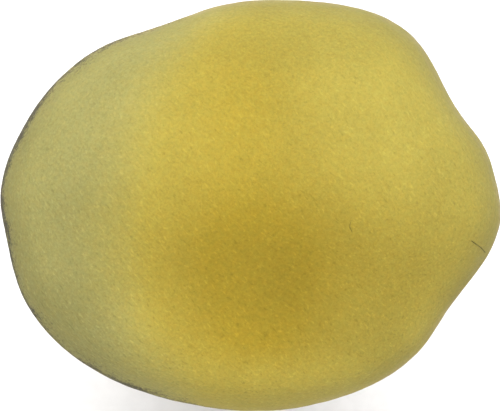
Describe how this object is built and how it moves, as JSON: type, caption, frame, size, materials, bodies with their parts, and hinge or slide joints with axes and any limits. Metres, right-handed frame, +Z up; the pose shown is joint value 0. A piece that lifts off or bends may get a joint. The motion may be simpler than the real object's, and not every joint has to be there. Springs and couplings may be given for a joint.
{
  "type": "foam sponge brush",
  "caption": "Sponge brush for dabbing paint: a soft oval foam head gathered over a core, tied at the neck and held in a metal ferrule on a turned wooden handle.",
  "frame": {"origin": "centre of the flat foot of the handle, on the handle's axis", "axes": "+Z up along the handle's axis, towards the foam; +X along the longer side of the oval head"},
  "size_m": [0.0801, 0.0657, 0.166],
  "materials": {
    "foam_yellow": "matte",
    "foam_core": "matte",
    "beech_lacquered": "satin",
    "former_wood": "matte",
    "ferrule_metal": "satin",
    "pin_brass": "satin",
    "screw_steel": "satin",
    "twine": "matte"
  },
  "bodies": {
    "root": {"handle": "beech_lacquered", "ferrule": "ferrule_metal", "ferrule_pins": "pin_brass", "head_former": "former_wood", "former_washer": "screw_steel", "former_screw": "screw_steel", "core_pad": "foam_core", "foam_head": "foam_yellow", "foam_skirt": "foam_yellow", "neck_binding": "twine"}
  },
  "joints": []
}
